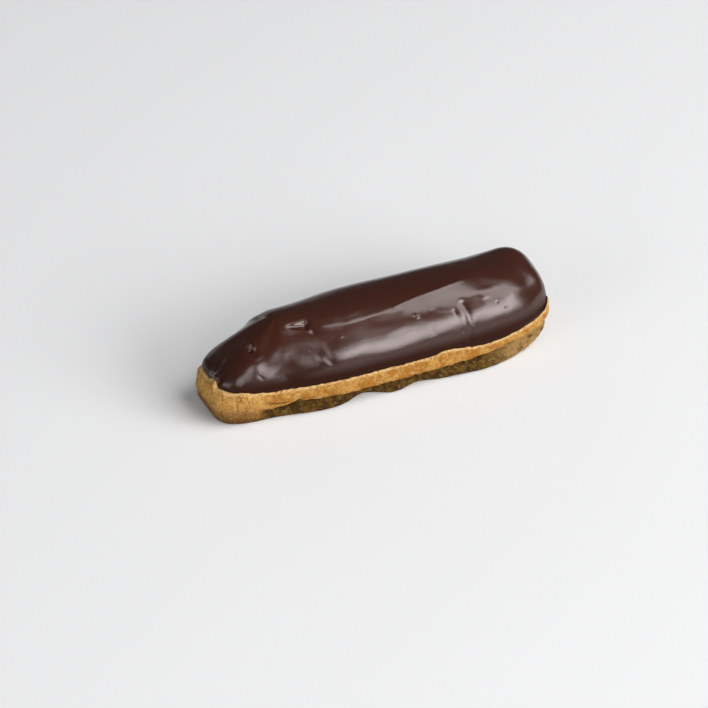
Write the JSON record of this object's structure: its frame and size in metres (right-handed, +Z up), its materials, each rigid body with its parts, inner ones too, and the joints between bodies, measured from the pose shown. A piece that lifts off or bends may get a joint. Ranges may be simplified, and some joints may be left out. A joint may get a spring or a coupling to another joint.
{
  "type": "chocolate eclair",
  "caption": "Whole baked choux pastry finger with a smooth coat of dark chocolate icing over its top, resting on its flat base.",
  "frame": {"origin": "on the plane of the flat base, under the middle of the eclair's box", "axes": "+X along the length towards the blunt end, -Y towards the front, +Z up from the base"},
  "size_m": [0.14, 0.0396, 0.0336],
  "materials": {
    "choux_pastry": "baked, golden brown, matt with fine pits",
    "chocolate_icing": "smooth semi-gloss dark chocolate"
  },
  "bodies": {
    "root": {"choux_shell": "choux_pastry", "chocolate_icing": "chocolate_icing"}
  },
  "joints": []
}
